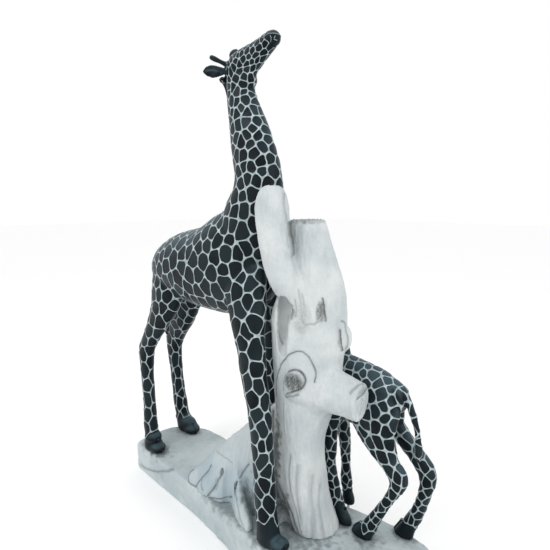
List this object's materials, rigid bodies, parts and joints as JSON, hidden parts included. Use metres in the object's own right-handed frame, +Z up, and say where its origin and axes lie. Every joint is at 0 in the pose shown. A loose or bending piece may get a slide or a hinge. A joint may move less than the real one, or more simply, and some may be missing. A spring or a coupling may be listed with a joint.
{
  "type": "carved stone giraffe statue",
  "caption": "Carved stone group of an adult giraffe and a calf beside a hollow tree trunk with roots, all standing on a thick rounded slab.",
  "frame": {"origin": "centre of the slab's flat underside", "axes": "+Z up; +X the way the adult giraffe faces, along the slab's long side; +Y the adult's left"},
  "size_m": [1.9258, 0.5589, 2.3293],
  "materials": {
    "dark_stone": "honed dark stone with a pale carved net of lines",
    "pale_stone": "honed pale stone with darkened crevices",
    "slab_stone": "honed pale blue-grey stone",
    "dowel_steel": "plain drawn bar"
  },
  "bodies": {
    "root": {"adult_torso": "dark_stone", "adult_neck": "dark_stone", "adult_head": "dark_stone", "adult_mane": "dark_stone", "adult_tail": "dark_stone", "adult_right_horn": "dark_stone", "adult_left_horn": "dark_stone", "adult_right_ear": "dark_stone", "adult_left_ear": "dark_stone", "adult_right_foreleg": "dark_stone", "adult_left_foreleg": "dark_stone", "adult_right_hind_leg": "dark_stone", "adult_left_hind_leg": "dark_stone", "calf_torso": "dark_stone", "calf_neck": "dark_stone", "calf_head": "dark_stone", "calf_tail": "dark_stone", "calf_left_horn": "dark_stone", "calf_right_horn": "dark_stone", "calf_left_ear": "dark_stone", "calf_right_ear": "dark_stone", "calf_left_foreleg": "dark_stone", "calf_right_foreleg": "dark_stone", "calf_left_hind_leg": "dark_stone", "calf_right_hind_leg": "dark_stone", "tree_trunk": "pale_stone", "tree_limb": "pale_stone", "tree_stump": "pale_stone", "root_spur": "pale_stone", "root_outer_toe": "pale_stone", "root_inner_toe": "pale_stone", "root_rib": "pale_stone", "base_slab": "slab_stone", "adult_leg_dowels": "dowel_steel", "calf_leg_dowels": "dowel_steel", "foot_dowels": "dowel_steel", "neck_dowels": "dowel_steel", "trunk_dowels": "dowel_steel"}
  },
  "joints": []
}
